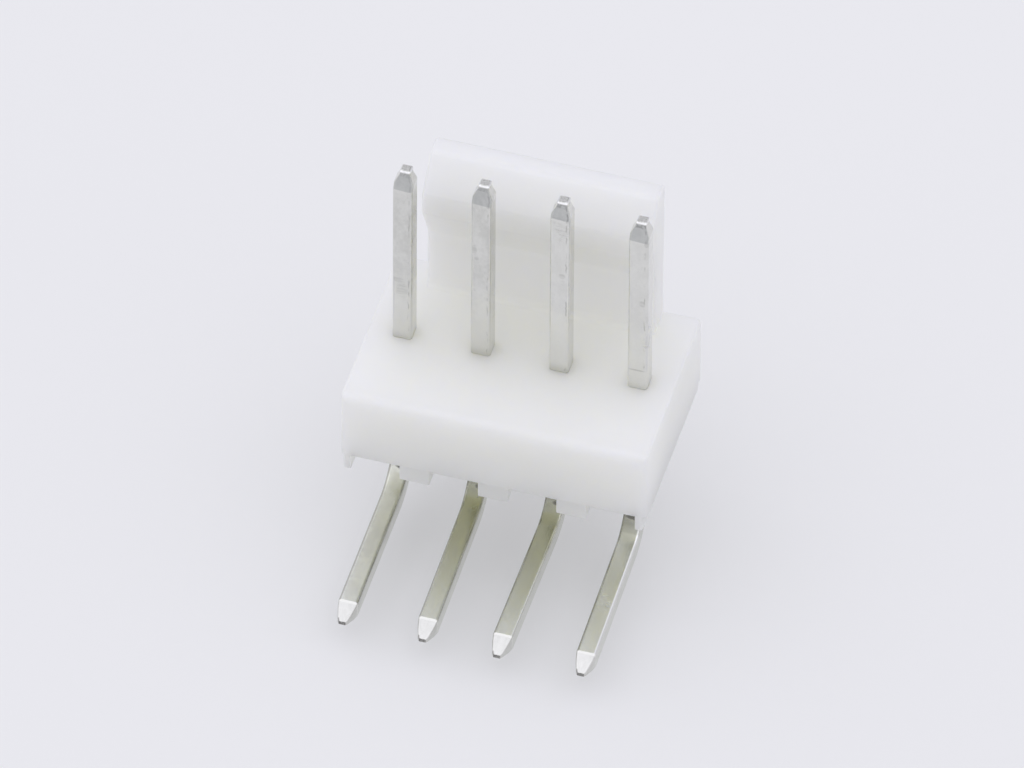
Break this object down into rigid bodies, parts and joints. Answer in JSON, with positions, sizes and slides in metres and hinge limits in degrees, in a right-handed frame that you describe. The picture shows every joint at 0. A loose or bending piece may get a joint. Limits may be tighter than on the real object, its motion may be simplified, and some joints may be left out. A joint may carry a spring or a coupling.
{
  "type": "pin header",
  "caption": "Right-angle board connector: a white nylon base with a friction-lock wall holds a row of square tinned pins, pointed at both ends and bent to the front as solder tails.",
  "frame": {"origin": "middle of the pin row in the top face of the base, where the plug stops", "axes": "+Z along the mating pins towards their points, +Y towards the lock wall, so the tails run along -Y, +X along the pin row"},
  "size_m": [0.0098, 0.01, 0.0141],
  "materials": {
    "nylon": "natural white nylon with a soft sheen",
    "tin": "bright tin plate over brass wire"
  },
  "bodies": {
    "root": {"housing": "nylon", "pin_1": "tin", "pin_2": "tin", "pin_3": "tin", "pin_4": "tin"}
  },
  "joints": []
}
